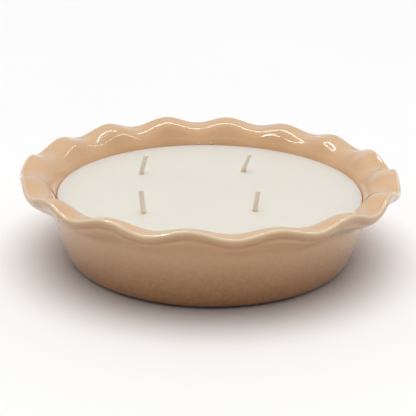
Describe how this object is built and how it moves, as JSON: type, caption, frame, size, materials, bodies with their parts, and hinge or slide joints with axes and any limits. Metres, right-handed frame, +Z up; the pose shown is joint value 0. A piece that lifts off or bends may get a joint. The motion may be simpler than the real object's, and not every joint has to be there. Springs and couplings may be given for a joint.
{
  "type": "candle in a ceramic pie dish",
  "caption": "Wax candle poured in a glazed ceramic pie dish with a ruffled rim, with short cotton wicks standing in the wax.",
  "frame": {"origin": "centre of the dish's flat base, on the surface that it stands on", "axes": "+Z up along the dish's axis, -Y towards the side that the picture is taken from, +X to the right"},
  "size_m": [0.2037, 0.2041, 0.0501],
  "materials": {
    "glaze": "glossy peach-tan glaze, paler where it thins on the lip",
    "wax": "smooth off-white candle wax, satin",
    "cotton": "waxed braided cotton"
  },
  "bodies": {
    "root": {"dish": "glaze", "wax": "wax", "wick_back_left": "cotton", "wick_back_right": "cotton", "wick_front_left": "cotton", "wick_front_right": "cotton"}
  },
  "joints": []
}
